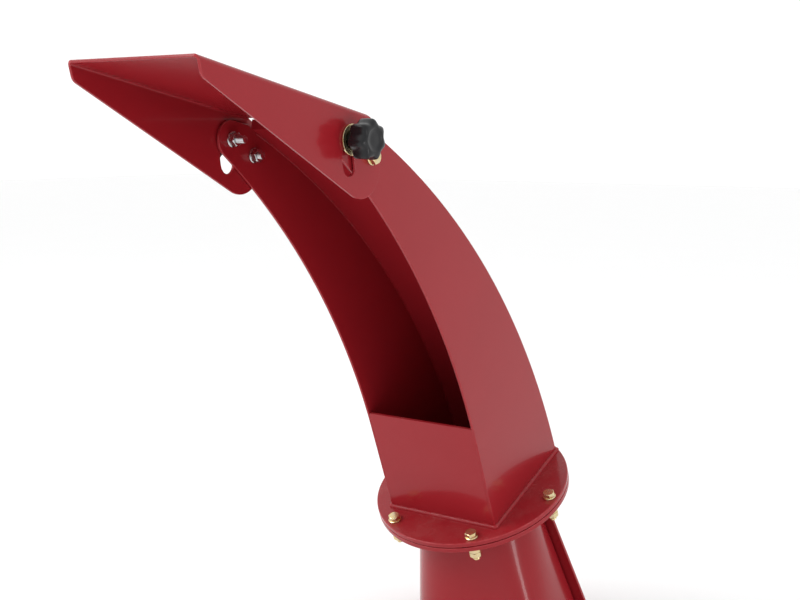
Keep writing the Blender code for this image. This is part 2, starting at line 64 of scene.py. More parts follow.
SHEET = 0.003
CHUTE_WIDTH = 0.150
CHUTE_DEPTH = 0.165
CHUTE_SETBACK = 0.010
FRONT_STRAIGHT = 0.115
BACK_RADIUS = 0.852
BACK_CENTRE_DROP = 0.047
PANEL_HEIGHT = 0.139
BACK_LIP_SETBACK = 0.007
BACK_LIP_GAP = 0.0007
END_RADIUS = 0.0194

FLANGE_THICKNESS = 0.006
FLANGE_MARGIN = 0.003
FLANGE_BORE_RADIUS = 0.070
RING_GAP = 0.001
RING_THICKNESS = 0.006
LIP_CLEARANCE = 0.0015
CLAMP_EDGE = 0.0115
CLAMP_ANGLES = (-120, -60, 0, 90, 180)

PIVOT_ANGLE = math.radians(41.7)
PIVOT_INSET = 0.0252
SLOT_RADIUS = 0.0365
STUD_ANGLE = math.radians(131)
TILT_RANGE = math.radians(45)
SLOT_HALF_WIDTH = 0.009
SLOT_TIP = 0.0069                 # slot's end beyond the stud's centre at each end of the tilt

HOOD_SLOPE = math.radians(33)
HOOD_GAP = 0.001
HOOD_END_CLEARANCE = 0.007
HOOD_LENGTH = 0.246
HOOD_LIP_DEPTH = 0.0175
HOOD_LIP_RAKE = 0.008
HOOD_TAIL = 0.0115
CHEEK_DROP = 0.0462
CHEEK_SLOPE = math.radians(16.5)
CHEEK_BACK = 0.0126
CHEEK_BACK_SLOPE = math.radians(23.6)
CHEEK_CORNER = 0.030
LIP_CORNER = 0.010
TAIL_CHAMFER = 0.0055
BEND = 0.005                      # outer radius of the deflector's two folds
SHEET_EDGE = 0.0007               # rounding of a coated sheet edge
LIP_EDGE = 0.0005                 # rounding of the collar, ribs, ring, flange and knob washers
RIB_EDGE = 0.0006
RING_EDGE = 0.0010
FLANGE_EDGE = 0.0012
KNOB_WASHER_EDGE = 0.0004

SEAM_BEAD = 0.0010                # weld bead radii
CORNER_BEAD = 0.0010
NECK_FOOT_BEAD = 0.0022
CHUTE_FOOT_BEAD = 0.0036
BEAD_OUTSIDE = 0.0009             # centre of an outside corner's bead below the sheet's face
BEAD_INSIDE = 0.0002              # centre of an inside corner's bead off the sheet's face

BOLT_RADIUS = 0.004
THREAD_PITCH = 0.00125
THREAD_DEPTH = 0.0004
HEAD_ACROSS = 0.013
HEAD_HEIGHT = 0.0053
NUT_HEIGHT = 0.0065
WASHER_RADIUS = 0.008
WASHER_THICKNESS = 0.0016
BOLT_TAIL = 0.005
LOCK_WASHER_RADIUS = 0.015
LOCK_WASHER_THICKNESS = 0.002
LOCK_TAIL = 0.010
HINGE_CLEARANCE = 0.0005
KNOB_LOBES = 7

CHUTE_FRONT = CHUTE_SETBACK - CHUTE_DEPTH / 2
CHUTE_BACK = CHUTE_SETBACK + CHUTE_DEPTH / 2
BACK_CENTRE = Vector((CHUTE_BACK - BACK_RADIUS, -BACK_CENTRE_DROP))
FLANGE_RADIUS = math.hypot(CHUTE_WIDTH / 2, CHUTE_BACK) + FLANGE_MARGIN
CLAMP_CIRCLE = FLANGE_RADIUS - CLAMP_EDGE
LIP_RADIUS = CLAMP_CIRCLE - LIP_INSET
RING_BOTTOM = -FLANGE_THICKNESS - RING_GAP - RING_THICKNESS
LIP_TOP = -FLANGE_THICKNESS - GAP
LIP_BOTTOM = LIP_TOP - LIP_THICKNESS


def polar(centre, radius, angle):
    return Vector((centre[0] + radius * math.cos(angle), centre[1] + radius * math.sin(angle)))


PIVOT = polar(BACK_CENTRE, BACK_RADIUS - PIVOT_INSET, PIVOT_ANGLE)
STUD = polar(PIVOT, SLOT_RADIUS, STUD_ANGLE)
END_OFFSET = STUD - Vector((CHUTE_FRONT, FRONT_STRAIGHT))
FRONT_RADIUS = (END_OFFSET.length_squared - END_RADIUS ** 2) / (2 * (END_RADIUS - END_OFFSET.x))
FRONT_CENTRE = Vector((CHUTE_FRONT - FRONT_RADIUS, FRONT_STRAIGHT))
HOOD_ALONG = Vector((-math.cos(HOOD_SLOPE), math.sin(HOOD_SLOPE)))
HOOD_UP = Vector((math.sin(HOOD_SLOPE), math.cos(HOOD_SLOPE)))
CHUTE_END = (STUD - PIVOT).dot(HOOD_UP) + END_RADIUS
HOOD_INNER_TOP = CHUTE_END + HOOD_END_CLEARANCE
HOOD_TOP = HOOD_INNER_TOP + SHEET
CHEEK_INSIDE = CHUTE_WIDTH / 2 + HOOD_GAP
CHEEK_OUTSIDE = CHEEK_INSIDE + SHEET
WALL_INSIDE = CHUTE_WIDTH / 2 - SHEET

WORLD = Matrix.Identity(4)
SWIVEL = Matrix.Translation((0, 0, NECK_HEIGHT)) @ Matrix.Rotation(SWIVEL_LEAN, 4, "X")
TILT = SWIVEL @ Matrix.Translation((0, *PIVOT)) @ Matrix.Rotation(-HOOD_SLOPE, 4, "X")
# lays a flat drawing (u, v) with thickness w into the side plane: x = w, y = u, z = v
SIDE_PLANE = Matrix(((0, 0, 1, 0), (1, 0, 0, 0), (0, 1, 0, 0), (0, 0, 0, 1)))


# ---- shader groups ----

def add_inputs(tree, inputs):
    """Adds named inputs to a tree. Returns their identifiers by name."""
    names = {}
    for label, kind, value in inputs:
        socket = tree.interface.new_socket(label, in_out="INPUT", socket_type=kind)
        if value is not None:
            socket.default_value = value
        names[label] = socket.identifier
    return names


def new_group(name, inputs, outputs):
    """A shader group with its named sockets and its two end nodes."""
    group = bpy.data.node_groups.new(name, "ShaderNodeTree")
    add_inputs(group, inputs)
    for label, kind in outputs:
        group.interface.new_socket(label, in_out="OUTPUT", socket_type=kind)
    return group, group.nodes.new("NodeGroupInput"), group.nodes.new("NodeGroupOutput")


def put(tree, kind, settings=None, **sockets):
    """Adds a node. A socket keyword is its name with _ for a space, or in_0, in_1 for a place."""
    node = tree.nodes.new(kind)
    for key, value in (settings or {}).items():
        setattr(node, key, value)
    for key, value in sockets.items():
        socket = node.inputs[int(key[3:])] if key.startswith("in_") else node.inputs[key.replace("_", " ")]
        if isinstance(value, bpy.types.NodeSocket):
            tree.links.new(value, socket)
        else:
            socket.default_value = value
    return node


def calc(tree, operation, a, b=0.0, c=0.0):
    return put(tree, "ShaderNodeMath", {"operation": operation}, in_0=a, in_1=b, in_2=c).outputs[0]


def blend_colour(tree, factor, a, b):
    return put(tree, "ShaderNodeMix", {"data_type": "RGBA"}, in_0=factor, in_6=a, in_7=b).outputs[2]


def noise(tree, place, scale, detail=2.0, roughness=0.5):
    return put(tree, "ShaderNodeTexNoise", Vector=place, Scale=scale, Detail=detail,
               Roughness=roughness).outputs["Fac"]


def spread(tree, value, low, high, to_low=0.0, to_high=1.0):
    return put(tree, "ShaderNodeMapRange", Value=value, From_Min=low, From_Max=high,
               To_Min=to_low, To_Max=to_high).outputs["Result"]


def surface_ripple_group():
    """Soft waviness of a sprayed or moulded skin: a height and a small roughness change."""
    group, inputs, outputs = new_group("surface_ripple", [
        ("Place", "NodeSocketVector", (0, 0, 0)), ("Wave Scale", "NodeSocketFloat", 300.0),
        ("Grain Scale", "NodeSocketFloat", 1800.0), ("Grain Share", "NodeSocketFloat", 0.2),
        ("Roughness", "NodeSocketFloat", 0.2), ("Roughness Spread", "NodeSocketFloat", 0.05)],
        [("Height", "NodeSocketFloat"), ("Roughness", "NodeSocketFloat")])
    take = inputs.outputs
    wave = noise(group, take["Place"], take["Wave Scale"], 1.0, 0.4)
    grain = noise(group, take["Place"], take["Grain Scale"], 2.0, 0.6)
    height = calc(group, "MULTIPLY_ADD", grain, take["Grain Share"], wave)
    patch = noise(group, take["Place"], 9.0, 3.0, 0.6)
    rough = calc(group, "MULTIPLY_ADD", calc(group, "SUBTRACT", patch, 0.5), take["Roughness Spread"],
                 take["Roughness"])
    group.links.new(height, outputs.inputs["Height"])
    group.links.new(rough, outputs.inputs["Roughness"])
    return group


def dust_and_edge_sheen_group():
    """Mask of thin dust on faces that look up, and of rounded rims made lighter: partly a coat running thin,
    partly a painted highlight.
    """
    group, inputs, outputs = new_group("dust_edge_wear_and_sheen", [
        ("Place", "NodeSocketVector", (0, 0, 0)), ("Dust", "NodeSocketFloat", 0.1),
        ("Edge", "NodeSocketFloat", 0.3)],
        [("Dust", "NodeSocketFloat"), ("Edge", "NodeSocketFloat")])
    take = inputs.outputs
    surface = put(group, "ShaderNodeNewGeometry").outputs
    up = put(group, "ShaderNodeSeparateXYZ", Vector=surface["Normal"]).outputs["Z"]
    facing = spread(group, up, 0.55, 0.98)
    cloud = spread(group, noise(group, take["Place"], 26.0, 5.0, 0.65), 0.42, 0.72)
    speck = spread(group, noise(group, take["Place"], 900.0, 1.0, 0.5), 0.62, 0.74)
    dusty = calc(group, "MULTIPLY", calc(group, "MULTIPLY_ADD", speck, 0.6, cloud), facing)
    group.links.new(calc(group, "MULTIPLY", dusty, take["Dust"]), outputs.inputs["Dust"])
    # Rim mask for lighter edges: partly a coat running thin, partly a painted highlight.
    rim = put(group, "ShaderNodeAttribute", {"attribute_name": "rim"}).outputs["Fac"]
    patchy = spread(group, noise(group, take["Place"], 120.0, 3.0, 0.6), 0.3, 0.7)
    edge_wear_and_sheen = calc(group, "MULTIPLY", rim, patchy)
    group.links.new(calc(group, "MULTIPLY", edge_wear_and_sheen, take["Edge"]), outputs.inputs["Edge"])
    return group


RIPPLE = surface_ripple_group()
DUST_AND_EDGE_SHEEN = dust_and_edge_sheen_group()


# ---- finishes ----

def new_finish(name):
    finish = bpy.data.materials.new(name)
    finish.use_nodes = True
    tree = finish.node_tree
    place = put(tree, "ShaderNodeTexCoord").outputs["Object"]
    return finish, tree, tree.nodes["Principled BSDF"], place


def add_ripple(tree, shader, place, distance, **values):
    """Feeds the shader's roughness and normal from the shared ripple group."""
    ripple = put(tree, "ShaderNodeGroup", {"node_tree": RIPPLE}, Place=place)
    for label, value in values.items():
        ripple.inputs[label.replace("_", " ")].default_value = value
    bump = put(tree, "ShaderNodeBump", Height=ripple.outputs["Height"], Strength=1.0, Distance=distance)
    tree.links.new(bump.outputs["Normal"], shader.inputs["Normal"])
    return ripple.outputs["Roughness"]


def red_powder_coat():
    finish, tree, shader, place = new_finish("red_powder_coat")
    rough = add_ripple(tree, shader, place, 0.00001, Wave_Scale=220.0, Grain_Scale=1500.0, Grain_Share=0.06,
                       Roughness=0.24, Roughness_Spread=0.05)
    marks = put(tree, "ShaderNodeGroup", {"node_tree": DUST_AND_EDGE_SHEEN}, Place=place, Dust=0.05, Edge=0.30)
    batch = spread(tree, noise(tree, place, 7.0, 3.0, 0.55), 0.3, 0.7)
    coat = blend_colour(tree, batch, (0.272, 0.0110, 0.0165, 1), (0.292, 0.0125, 0.0185, 1))
    grain = spread(tree, noise(tree, place, 2600.0, 1.0, 0.5), 0.35, 0.65)
    coat = blend_colour(tree, calc(tree, "MULTIPLY", grain, 0.12), coat, (0.19, 0.005, 0.008, 1))
    # Painted highlight: rims lightened to a pink red, partly also a coat running thin.
    coat = blend_colour(tree, marks.outputs["Edge"], coat, (0.62, 0.10, 0.11, 1))
    coat = blend_colour(tree, marks.outputs["Dust"], coat, (0.55, 0.44, 0.38, 1))
    tree.links.new(coat, shader.inputs["Base Color"])
    tree.links.new(calc(tree, "MULTIPLY_ADD", marks.outputs["Dust"], 1.2, rough), shader.inputs["Roughness"])
    shader.inputs["Specular IOR Level"].default_value = 0.16
    shader.inputs["Coat Weight"].default_value = 0.22
    shader.inputs["Coat Roughness"].default_value = 0.07
    return finish


def zinc_plating(name, thick, thin, stained):
    """Passivated zinc on steel: its colour where it is thick, where it is thin and where it has bloomed."""
    finish, tree, shader, place = new_finish(name)
    rough = add_ripple(tree, shader, place, 0.00001, Wave_Scale=900.0, Grain_Scale=5200.0, Grain_Share=0.5,
                       Roughness=0.24, Roughness_Spread=0.12)
    tint = noise(tree, place, 160.0, 3.0, 0.6)
    plate = blend_colour(tree, spread(tree, tint, 0.35, 0.65), thick, thin)
    bloom = spread(tree, noise(tree, place, 420.0, 2.0, 0.5), 0.55, 0.75)
    plate = blend_colour(tree, calc(tree, "MULTIPLY", bloom, 0.35), plate, stained)
    tree.links.new(plate, shader.inputs["Base Color"])
    tree.links.new(rough, shader.inputs["Roughness"])
    shader.inputs["Metallic"].default_value = 1.0
    return finish


def black_knob_plastic():
    finish, tree, shader, place = new_finish("black_knob_plastic")
    rough = add_ripple(tree, shader, place, 0.00002, Wave_Scale=700.0, Grain_Scale=4200.0, Grain_Share=0.6,
                       Roughness=0.30, Roughness_Spread=0.10)
    marks = put(tree, "ShaderNodeGroup", {"node_tree": DUST_AND_EDGE_SHEEN}, Place=place, Dust=0.04, Edge=0.25)
    body = blend_colour(tree, noise(tree, place, 80.0, 2.0, 0.5), (0.006, 0.006, 0.007, 1),
                        (0.010, 0.010, 0.012, 1))
    # Rims lightened to grey from the same mask: partly wear, partly a painted highlight.
    body = blend_colour(tree, marks.outputs["Edge"], body, (0.07, 0.07, 0.075, 1))
    body = blend_colour(tree, marks.outputs["Dust"], body, (0.30, 0.28, 0.26, 1))
    tree.links.new(body, shader.inputs["Base Color"])
    tree.links.new(rough, shader.inputs["Roughness"])
    shader.inputs["Specular IOR Level"].default_value = 0.30
    return finish


RED = red_powder_coat()
YELLOW_ZINC = zinc_plating("yellow_zinc", thick=(0.72, 0.56, 0.27, 1), thin=(0.70, 0.62, 0.40, 1),
                           stained=(0.62, 0.40, 0.30, 1))
CLEAR_ZINC = zinc_plating("clear_zinc", thick=(0.50, 0.50, 0.50, 1), thin=(0.60, 0.61, 0.62, 1),
                          stained=(0.36, 0.35, 0.34, 1))
BLACK = black_knob_plastic()


# ---- finished pieces ----

def evaluated_mesh(obj):
    """The object's mesh with its modifiers applied. The object itself is removed."""
    bpy.context.view_layer.update()
    mesh = bpy.data.meshes.new_from_object(obj.evaluated_get(bpy.context.evaluated_depsgraph_get()))
    bpy.data.objects.remove(obj)
    return mesh


def linked(name, data):
    obj = bpy.data.objects.new(name, data)
    bpy.context.scene.collection.objects.link(obj)
    return obj


def flat_regions(bm, least):
    """For each face, the normal of its flat region, or None on a curved or narrow face."""
    flats = {}
    seen = set()
    for face in bm.faces:
        if face in seen:
            continue
        region, queue, area = [], [face], 0.0
        seen.add(face)
        while queue:
            here = queue.pop()
            region.append(here)
            area += here.calc_area()
            for edge in here.edges:
                for other in edge.link_faces:
                    if other not in seen and other.normal.dot(face.normal) > 0.99999:
                        seen.add(other)
                        queue.append(other)
        if area >= least:
            flats.update((f.index, face.normal.copy()) for f in region)
    return flats


def shade_flats(mesh, least, sharp):
    """Keeps flat faces flat beside rounded rims, and marks the rims for the finish's lighter edges, partly
    wear and partly a painted highlight.
    """
    bm = bmesh.new()
    bm.from_mesh(mesh)
    bm.faces.ensure_lookup_table()
    flats = flat_regions(bm, least)
    limit = math.cos(math.radians(sharp))
    normals, rim = [], []
    for face in bm.faces:
        own = flats.get(face.index)
        rim.append(0.0 if own else 1.0)
        for loop in face.loops:
            around = [f for f in loop.vert.link_faces if f.normal.dot(face.normal) > limit]
            level = [flats[f.index] for f in around if f.index in flats]
            if own:
                normal = own
            elif level:
                normal = sum(level, Vector())
            else:
                normal = sum((f.normal * f.calc_area() for f in around), Vector())
            normals.append(normal.normalized() if normal.length > 1e-12 else face.normal)
    bm.free()
    mesh.normals_split_custom_set(normals)
    mesh.attributes.new("rim", "FLOAT", "FACE").data.foreach_set("value", rim)


def finish_piece(name, mesh, place, finish, body, nodes, sharp=60, least=4e-6):
    """Puts the place into the mesh, shades it, and lets it stand for its CAD nodes."""
    mesh.transform(place)
    mesh.materials.clear()
    mesh.materials.append(finish)
    mesh.shade_smooth()
    if least:
        shade_flats(mesh, least, sharp)
    else:
        mesh.set_sharp_from_angle(angle=math.radians(sharp))
    mesh.name = name
    piece = linked(name, mesh)
    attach(piece, body)
    if nodes:
        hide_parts(*nodes)


def round_edges(work, width, sharpest, clamp):
    """Rounds every edge that turns by more than the given degrees."""
    rounding = work.modifiers.new("edges", "BEVEL")
    rounding.width = width
    rounding.segments = 3
    rounding.limit_method = "ANGLE"
    rounding.angle_limit = math.radians(sharpest)
    rounding.use_clamp_overlap = clamp


def arc(centre, radius, start, end, steps):
    return [polar(centre, radius, start + (end - start) * i / steps) for i in range(steps + 1)]


def round_hole(centre, radius, steps=40):
    return arc(centre, radius, 0, math.tau, steps)[:-1]


def plate(outlines, low, high):
    """A flat plate with rounded edges, drawn in (u, v), from w = low to w = high, with holes inside."""
    curve = bpy.data.curves.new("plate_drawing", "CURVE")
    curve.dimensions = "2D"
    curve.fill_mode = "BOTH"
    curve.extrude = (high - low) / 2 - SHEET_EDGE
    curve.bevel_depth = SHEET_EDGE
    curve.bevel_resolution = 2
    curve.offset = -SHEET_EDGE
    for outline in outlines:
        spline = curve.splines.new("POLY")
        spline.points.add(len(outline) - 1)
        for point, place in zip(spline.points, outline):
            point.co = (place[0], place[1], 0, 1)
        spline.use_cyclic_u = True
    mesh = evaluated_mesh(linked("plate_drawing", curve))
    mesh.transform(Matrix.Translation((0, 0, (low + high) / 2)))
    return mesh


def loft(loops, ring=False):
    """Skins a row of loops. A ring's last loop joins its first, and other rows are capped."""
    bm = bmesh.new()
    rows = [[bm.verts.new(p) for p in loop] for loop in loops]
    pairs = list(zip(rows, rows[1:]))
    if ring:
        pairs.append((rows[-1], rows[0]))
    else:
        bm.faces.new(rows[0])
        bm.faces.new(rows[-1])
    count = len(rows[0])
    for low, high in pairs:
        for i in range(count):
            j = (i + 1) % count
            bm.faces.new((low[i], low[j], high[j], high[i]))
    bmesh.ops.recalc_face_normals(bm, faces=bm.faces)
    mesh = bpy.data.meshes.new("loft")
    bm.to_mesh(mesh)
    bm.free()
    return mesh


def rounded_profile(points, radius):
    """A closed profile with each corner rounded."""
    rows = [Vector(p) for p in points]
    done = []
    for before, corner, after in zip(rows[-1:] + rows, rows, rows[1:] + rows[:1]):
        done += fillet(before, corner, after, radius, 3)
    return done


def fillet(before, corner, after, radius, steps):
    into, out = (corner - before).normalized(), (after - corner).normalized()
    turn_angle = math.acos(max(-1, min(1, into.dot(out))))
    reach = radius * math.tan(turn_angle / 2)
    left = into.x * out.y - into.y * out.x > 0
    normal = Vector((-into.y, into.x)) if left else Vector((into.y, -into.x))
    centre = corner - into * reach + normal * radius
    start = math.atan2(-normal.y, -normal.x)
    return arc(centre, radius, start, start + (turn_angle if left else -turn_angle), steps)


def ring_of_points(radius, z, sides, lead=0.0):
    """A level circle of points about Z, turned ahead by a share of a side."""
    return [Vector((*polar((0, 0), radius, math.tau * (i + lead) / sides), z)) for i in range(sides)]


def lathe(profile, sides=160):
    """Turns a closed (radius, height) profile about Z."""
    return loft([ring_of_points(r, z, sides) for r, z in profile], ring=True)


def drilled(mesh, places, radius):
    """Cuts round holes along Z."""
    reach = 0.03
    loops = [ring_of_points(radius, z, 40, 0.5) for z in (-reach, reach)]
    work = linked("drilling", mesh)
    cutters = []
    for x, y in places:
        drill = loft(loops)
        drill.transform(Matrix.Translation((x, y, 0)))
        cutters.append(linked("drill", drill))
        hole = work.modifiers.new("hole", "BOOLEAN")
        hole.operation = "DIFFERENCE"
        hole.solver = "EXACT"
        hole.object = cutters[-1]
    done = evaluated_mesh(work)
    for cutter in cutters:
        bpy.data.objects.remove(cutter)
    return done


# ---- geometry node trees ----

def new_tree(name, inputs):
    """A geometry tree with its named inputs. Returns the tree, its ends and the inputs' identifiers."""
    tree = bpy.data.node_groups.new(name, "GeometryNodeTree")
    tree.interface.new_socket("Geometry", in_out="INPUT", socket_type="NodeSocketGeometry")
    tree.interface.new_socket("Geometry", in_out="OUTPUT", socket_type="NodeSocketGeometry")
    names = add_inputs(tree, inputs)
    return tree, tree.nodes.new("NodeGroupInput"), tree.nodes.new("NodeGroupOutput"), names


def close_tree(tree, ends, shape, finish):
    """Realizes the instances, sets the finish and joins the tree's output."""
    real = put(tree, "GeometryNodeRealizeInstances", Geometry=shape)
    coated = put(tree, "GeometryNodeSetMaterial", Geometry=real.outputs[0], Material=finish)
    tree.links.new(coated.outputs[0], ends.inputs["Geometry"])


def run_tree(built, base, values):
    """Runs a tree on a base mesh and returns the plain mesh that it makes."""
    tree, names = built
    work = linked("tree_base", base)
    modifier = work.modifiers.new("nodes", "NODES")
    modifier.node_group = tree
    for label, value in values.items():
        modifier[names[label]] = value
    return evaluated_mesh(work)


def vector_of(tree, x, y, z):
    return put(tree, "ShaderNodeCombineXYZ", X=x, Y=y, Z=z).outputs[0]


def moved(tree, shape, z):
    lift = vector_of(tree, 0.0, 0.0, z)
    return put(tree, "GeometryNodeTransform", Geometry=shape, Translation=lift).outputs[0]


def joined(tree, *shapes):
    both = put(tree, "GeometryNodeJoinGeometry")
    for shape in shapes:
        tree.links.new(shape, both.inputs[0])
    return both.outputs[0]


def only_if(tree, wanted, shape):
    chosen = put(tree, "GeometryNodeSwitch", {"input_type": "GEOMETRY"}, Switch=wanted, **{"True": shape})
    return chosen.outputs[0]


def here(tree):
    """The X, Y and Z of each point, and its angle about Z."""
    place = put(tree, "ShaderNodeSeparateXYZ", Vector=put(tree, "GeometryNodeInputPosition").outputs[0])
    x, y, z = place.outputs
    return x, y, z, calc(tree, "ARCTAN2", y, x)


def reshaped(tree, shape, *place):
    return put(tree, "GeometryNodeSetPosition", Geometry=shape, Position=vector_of(tree, *place)).outputs[0]


def threaded_rod(tree, radius, length, pitch, depth):
    """A round rod from z = 0 down to -length with a rolled thread."""
    steps = calc(tree, "ROUND", calc(tree, "MULTIPLY", calc(tree, "DIVIDE", length, pitch), 6.0))
    rod = put(tree, "GeometryNodeMeshCylinder", Vertices=28, Side_Segments=steps, Radius=radius,
              Depth=length)
    x, y, z, angle = here(tree)
    turns = calc(tree, "SUBTRACT", calc(tree, "DIVIDE", z, pitch), calc(tree, "DIVIDE", angle, math.tau))
    groove = calc(tree, "MULTIPLY", calc(tree, "PINGPONG", turns, 0.5), depth)
    inward = calc(tree, "SUBTRACT", 1.0, calc(tree, "DIVIDE", groove, calc(tree, "MULTIPLY", radius, 0.5)))
    shaped = reshaped(tree, rod.outputs["Mesh"], calc(tree, "MULTIPLY", x, inward),
                      calc(tree, "MULTIPLY", y, inward), z)
    return moved(tree, shaped, calc(tree, "MULTIPLY", length, -0.5))


def chamfered_hexagon(tree, across, height):
    """A hexagon prism from z = 0 to z = height whose upper corners are turned off at 30 degrees."""
    rod = put(tree, "GeometryNodeMeshCylinder", Vertices=60, Side_Segments=8, Radius=1.0, Depth=2.0)
    x, y, z, angle = here(tree)
    share = calc(tree, "MULTIPLY_ADD", z, -0.5, 0.5)
    drop = calc(tree, "MULTIPLY", calc(tree, "MULTIPLY", share, share), height)
    sixth = calc(tree, "SUBTRACT", calc(tree, "FLOORED_MODULO", angle, math.pi / 3), math.pi / 6)
    flat = calc(tree, "DIVIDE", calc(tree, "MULTIPLY", across, 0.5), calc(tree, "COSINE", sixth))
    turned = calc(tree, "MULTIPLY_ADD", across, 0.475, calc(tree, "MULTIPLY", drop, math.sqrt(3)))
    radius = calc(tree, "MINIMUM", flat, turned)
    length = calc(tree, "SQRT", calc(tree, "MULTIPLY_ADD", x, x, calc(tree, "MULTIPLY", y, y)))
    rim = calc(tree, "DIVIDE", radius, calc(tree, "MAXIMUM", length, 0.001))
    return reshaped(tree, rod.outputs["Mesh"], calc(tree, "MULTIPLY", x, rim),
                    calc(tree, "MULTIPLY", y, rim), calc(tree, "SUBTRACT", height, drop))


def pressed_washer(tree, radius, thickness):
    """A washer whose upper edge is dished, from z = 0 to z = thickness."""
    low, high = (calc(tree, "MULTIPLY", thickness, share) for share in (0.65, 0.35))
    inner = calc(tree, "MULTIPLY", radius, 0.90)
    dish = put(tree, "GeometryNodeMeshCone", Vertices=48, Radius_Bottom=radius, Radius_Top=inner, Depth=high)
    rim = put(tree, "GeometryNodeMeshCylinder", Vertices=48, Radius=radius, Depth=low)
    return joined(tree, moved(tree, dish.outputs["Mesh"], low),
                  moved(tree, rim.outputs["Mesh"], calc(tree, "MULTIPLY", low, 0.5)))


FASTENER_INPUTS = [
    ("Across Flats", "NodeSocketFloat", HEAD_ACROSS), ("Washer Radius", "NodeSocketFloat", WASHER_RADIUS),
    ("Washer Thickness", "NodeSocketFloat", WASHER_THICKNESS), ("Finish", "NodeSocketMaterial", None)]


def bolt_tree():
    """Hexagon head with washer, and a shank with a rolled end, at each point along its facing direction."""
    tree, start, end, names = new_tree("hexagon_bolts", FASTENER_INPUTS + [
        ("Head Height", "NodeSocketFloat", HEAD_HEIGHT), ("Shank Radius", "NodeSocketFloat", BOLT_RADIUS),
        ("Reach", "NodeSocketFloat", 0.02), ("Head", "NodeSocketBool", True), ("Seed", "NodeSocketInt", 4)])
    take = start.outputs
    head = moved(tree, chamfered_hexagon(tree, take["Across Flats"], take["Head Height"]),
                 take["Washer Thickness"])
    washer = pressed_washer(tree, take["Washer Radius"], take["Washer Thickness"])
    rod = threaded_rod(tree, take["Shank Radius"], take["Reach"], THREAD_PITCH, THREAD_DEPTH)
    whole = joined(tree, only_if(tree, take["Head"], joined(tree, head, washer)), rod)
    close_tree(tree, end, stand_on_points(tree, take, whole), take["Finish"])
    return tree, names


def nut_tree():
    """Hexagon nut on its washer, hanging along each point's facing direction."""
    tree, start, end, names = new_tree("hexagon_nuts", FASTENER_INPUTS + [
        ("Nut Height", "NodeSocketFloat", NUT_HEIGHT), ("Jam Nut", "NodeSocketBool", False),
        ("Seed", "NodeSocketInt", 9)])
    take = start.outputs
    nut = chamfered_hexagon(tree, take["Across Flats"], take["Nut Height"])
    second = calc(tree, "ADD", take["Washer Thickness"], take["Nut Height"])
    whole = joined(tree, moved(tree, nut, take["Washer Thickness"]),
                   only_if(tree, take["Jam Nut"], moved(tree, nut, second)),
                   pressed_washer(tree, take["Washer Radius"], take["Washer Thickness"]))
    close_tree(tree, end, stand_on_points(tree, take, whole), take["Finish"])
    return tree, names


def stand_on_points(tree, take, shape):
    """Stands a shape on each point, its Z along the point's facing, turned by a fixed random angle."""
    facing = put(tree, "GeometryNodeInputNamedAttribute", {"data_type": "FLOAT_VECTOR"}, Name="facing")
    aim = put(tree, "FunctionNodeAlignRotationToVector", {"axis": "Z"}, Vector=facing.outputs["Attribute"])
    chance = put(tree, "FunctionNodeRandomValue", {"data_type": "FLOAT"}, in_2=0.0, in_3=math.tau,
                 Seed=take["Seed"])
    spin = put(tree, "FunctionNodeAxisAngleToRotation", Axis=(0, 0, 1), Angle=chance.outputs[1])
    both = put(tree, "FunctionNodeRotateRotation", {"rotation_space": "LOCAL"}, Rotation=aim.outputs[0],
               Rotate_By=spin.outputs[0])
    stood = put(tree, "GeometryNodeInstanceOnPoints", Points=take["Geometry"], Instance=shape,
                Rotation=both.outputs[0])
    return stood.outputs[0]


def bead_tree():
    """A rippled weld bead along the base's edges."""
    tree, start, end, names = new_tree("weld_bead", [
        ("Bead Radius", "NodeSocketFloat", 0.0018), ("Ripple Pitch", "NodeSocketFloat", 0.0022),
        ("Ripple Share", "NodeSocketFloat", 0.10), ("Step", "NodeSocketFloat", 0.00055),
        ("Finish", "NodeSocketMaterial", None)])
    take = start.outputs
    path = put(tree, "GeometryNodeMeshToCurve", Mesh=take["Geometry"])
    even = put(tree, "GeometryNodeResampleCurve", {"mode": "LENGTH"}, Curve=path.outputs[0],
               Length=take["Step"])
    along = put(tree, "GeometryNodeSplineParameter").outputs["Length"]
    phase = calc(tree, "PINGPONG", calc(tree, "DIVIDE", along, take["Ripple Pitch"]), 0.5)
    uneven = noise(tree, put(tree, "GeometryNodeInputPosition").outputs[0], 160.0, 2.0, 0.5)
    share = calc(tree, "MULTIPLY_ADD", phase, calc(tree, "MULTIPLY", take["Ripple Share"], 2.0), 0.86)
    share = calc(tree, "MULTIPLY_ADD", calc(tree, "SUBTRACT", uneven, 0.5), 0.5, share)
    size = calc(tree, "MULTIPLY", share, take["Bead Radius"])
    sized = put(tree, "GeometryNodeSetCurveRadius", Curve=even.outputs[0], Radius=1.0)
    ring = put(tree, "GeometryNodeCurvePrimitiveCircle", Resolution=12, Radius=1.0)
    swept = put(tree, "GeometryNodeCurveToMesh", Curve=sized.outputs[0], Profile_Curve=ring.outputs[0],
                Fill_Caps=True, Scale=size)
    close_tree(tree, end, swept.outputs[0], take["Finish"])
    return tree, names


BOLTS = bolt_tree()
NUTS = nut_tree()
BEAD = bead_tree()


def points_mesh(places):
    """One vertex for each (place, facing), with the facing kept as an attribute."""
    mesh = bpy.data.meshes.new("points")
    mesh.from_pydata([tuple(place) for place, _ in places], [], [])
    facing = mesh.attributes.new("facing", "FLOAT_VECTOR", "POINT")
    facing.data.foreach_set("vector", [c for _, way in places for c in way])
    return mesh


